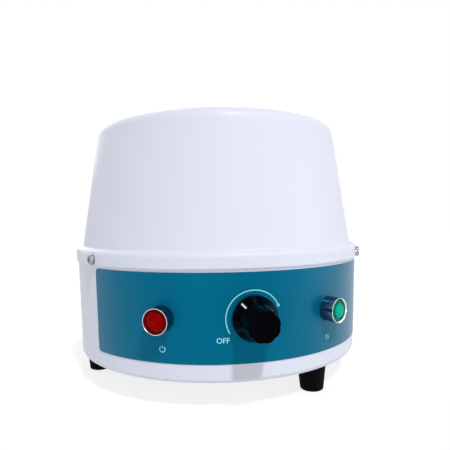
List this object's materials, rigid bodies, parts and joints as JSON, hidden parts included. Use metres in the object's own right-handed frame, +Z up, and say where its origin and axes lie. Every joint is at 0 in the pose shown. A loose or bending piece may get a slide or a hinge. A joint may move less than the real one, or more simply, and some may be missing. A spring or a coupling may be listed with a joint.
{
  "type": "heating mantle",
  "caption": "Bench heating mantle for a round-bottom flask: conical white cover over a drafted pan with a teal control label, rotary regulator knob and signal lamps.",
  "frame": {"origin": "on the bench, midway between knob front and gland end, on the housing's axis of revolution", "axes": "+Z up along the housing's axis; -Y is the way the control panel and knob face; +Y is the way the cord gland faces; +X is to the right of someone facing the panel"},
  "size_m": [0.2355, 0.2803, 0.1985],
  "materials": {
    "body_paint": "satin white powder coat",
    "label_teal": "satin printed polyester overlay, teal",
    "plated_steel": "bright zinc plate",
    "foot_rubber": "matt black",
    "black_moulding": "matt black moulding",
    "brass": "bright",
    "knob_black": "semi-gloss black moulding",
    "pointer_white": "white",
    "black_nylon": "matt nylon",
    "bare_aluminium": "mill finish",
    "mineral_wool": "loose mineral wool",
    "glass_cloth": "knitted glass yarn",
    "resistance_wire": "oxidised resistance wire",
    "pale_moulding": "pale moulding",
    "lamp_chrome": "polished",
    "lens_red": "clear red moulding",
    "lens_green": "clear green moulding",
    "wire_brown": "sleeved wire",
    "wire_blue": "sleeved wire",
    "wire_green": "sleeved wire"
  },
  "bodies": {
    "housing": {"lower_housing": "body_paint", "upper_cover": "body_paint", "control_label": "label_teal", "rim_screws": "plated_steel", "rim_nuts": "plated_steel", "foot_1": "foot_rubber", "foot_2": "foot_rubber", "foot_3": "foot_rubber", "foot_washers": "plated_steel", "foot_screws": "plated_steel", "foot_nuts": "plated_steel", "regulator_case": "black_moulding", "regulator_bush": "brass", "regulator_nut": "brass", "regulator_tabs": "brass", "gland_body": "black_nylon", "gland_cap": "black_nylon", "gland_seal": "foot_rubber", "gland_locknut": "black_nylon", "partition_plate": "bare_aluminium", "partition_screws": "plated_steel", "partition_nuts": "plated_steel", "nest_drum": "bare_aluminium", "insulation": "mineral_wool", "heating_nest": "glass_cloth", "heating_element": "resistance_wire", "lead_grommet": "foot_rubber", "terminal_block": "pale_moulding", "clamp_screws": "brass", "block_screws": "plated_steel", "block_nuts": "plated_steel", "earth_stud": "brass", "earth_nuts": "brass", "earth_tag": "plated_steel", "earth_lead": "wire_green", "power_lamp_bezel": "lamp_chrome", "power_lamp_lens": "lens_red", "power_lamp_holder": "black_moulding", "power_lamp_nut": "plated_steel", "power_lamp_tabs": "brass", "power_lamp_wire_live": "wire_brown", "power_lamp_wire_neutral": "wire_blue", "pilot_lamp_bezel": "lamp_chrome", "pilot_lamp_lens": "lens_green", "pilot_lamp_holder": "black_moulding", "pilot_lamp_nut": "plated_steel", "pilot_lamp_tabs": "brass", "pilot_lamp_wire_live": "wire_brown", "pilot_lamp_wire_neutral": "wire_blue", "supply_wire_live": "wire_brown", "supply_wire_neutral": "wire_blue", "load_wire_live": "wire_brown", "load_wire_neutral": "wire_blue", "heater_lead_live": "wire_brown", "heater_lead_neutral": "wire_blue"},
    "knob": {"knob": "knob_black", "knob_pointer": "pointer_white", "knob_set_screw": "plated_steel", "regulator_spindle": "plated_steel"}
  },
  "joints": [
    {"name": "knob_turn", "type": "hinge", "parent": "housing", "child": "knob", "pos_m": [0, -0.11547, 0.06], "axis": [0, 0.9995, 0.0305], "range_deg": [-83, 187]}
  ]
}
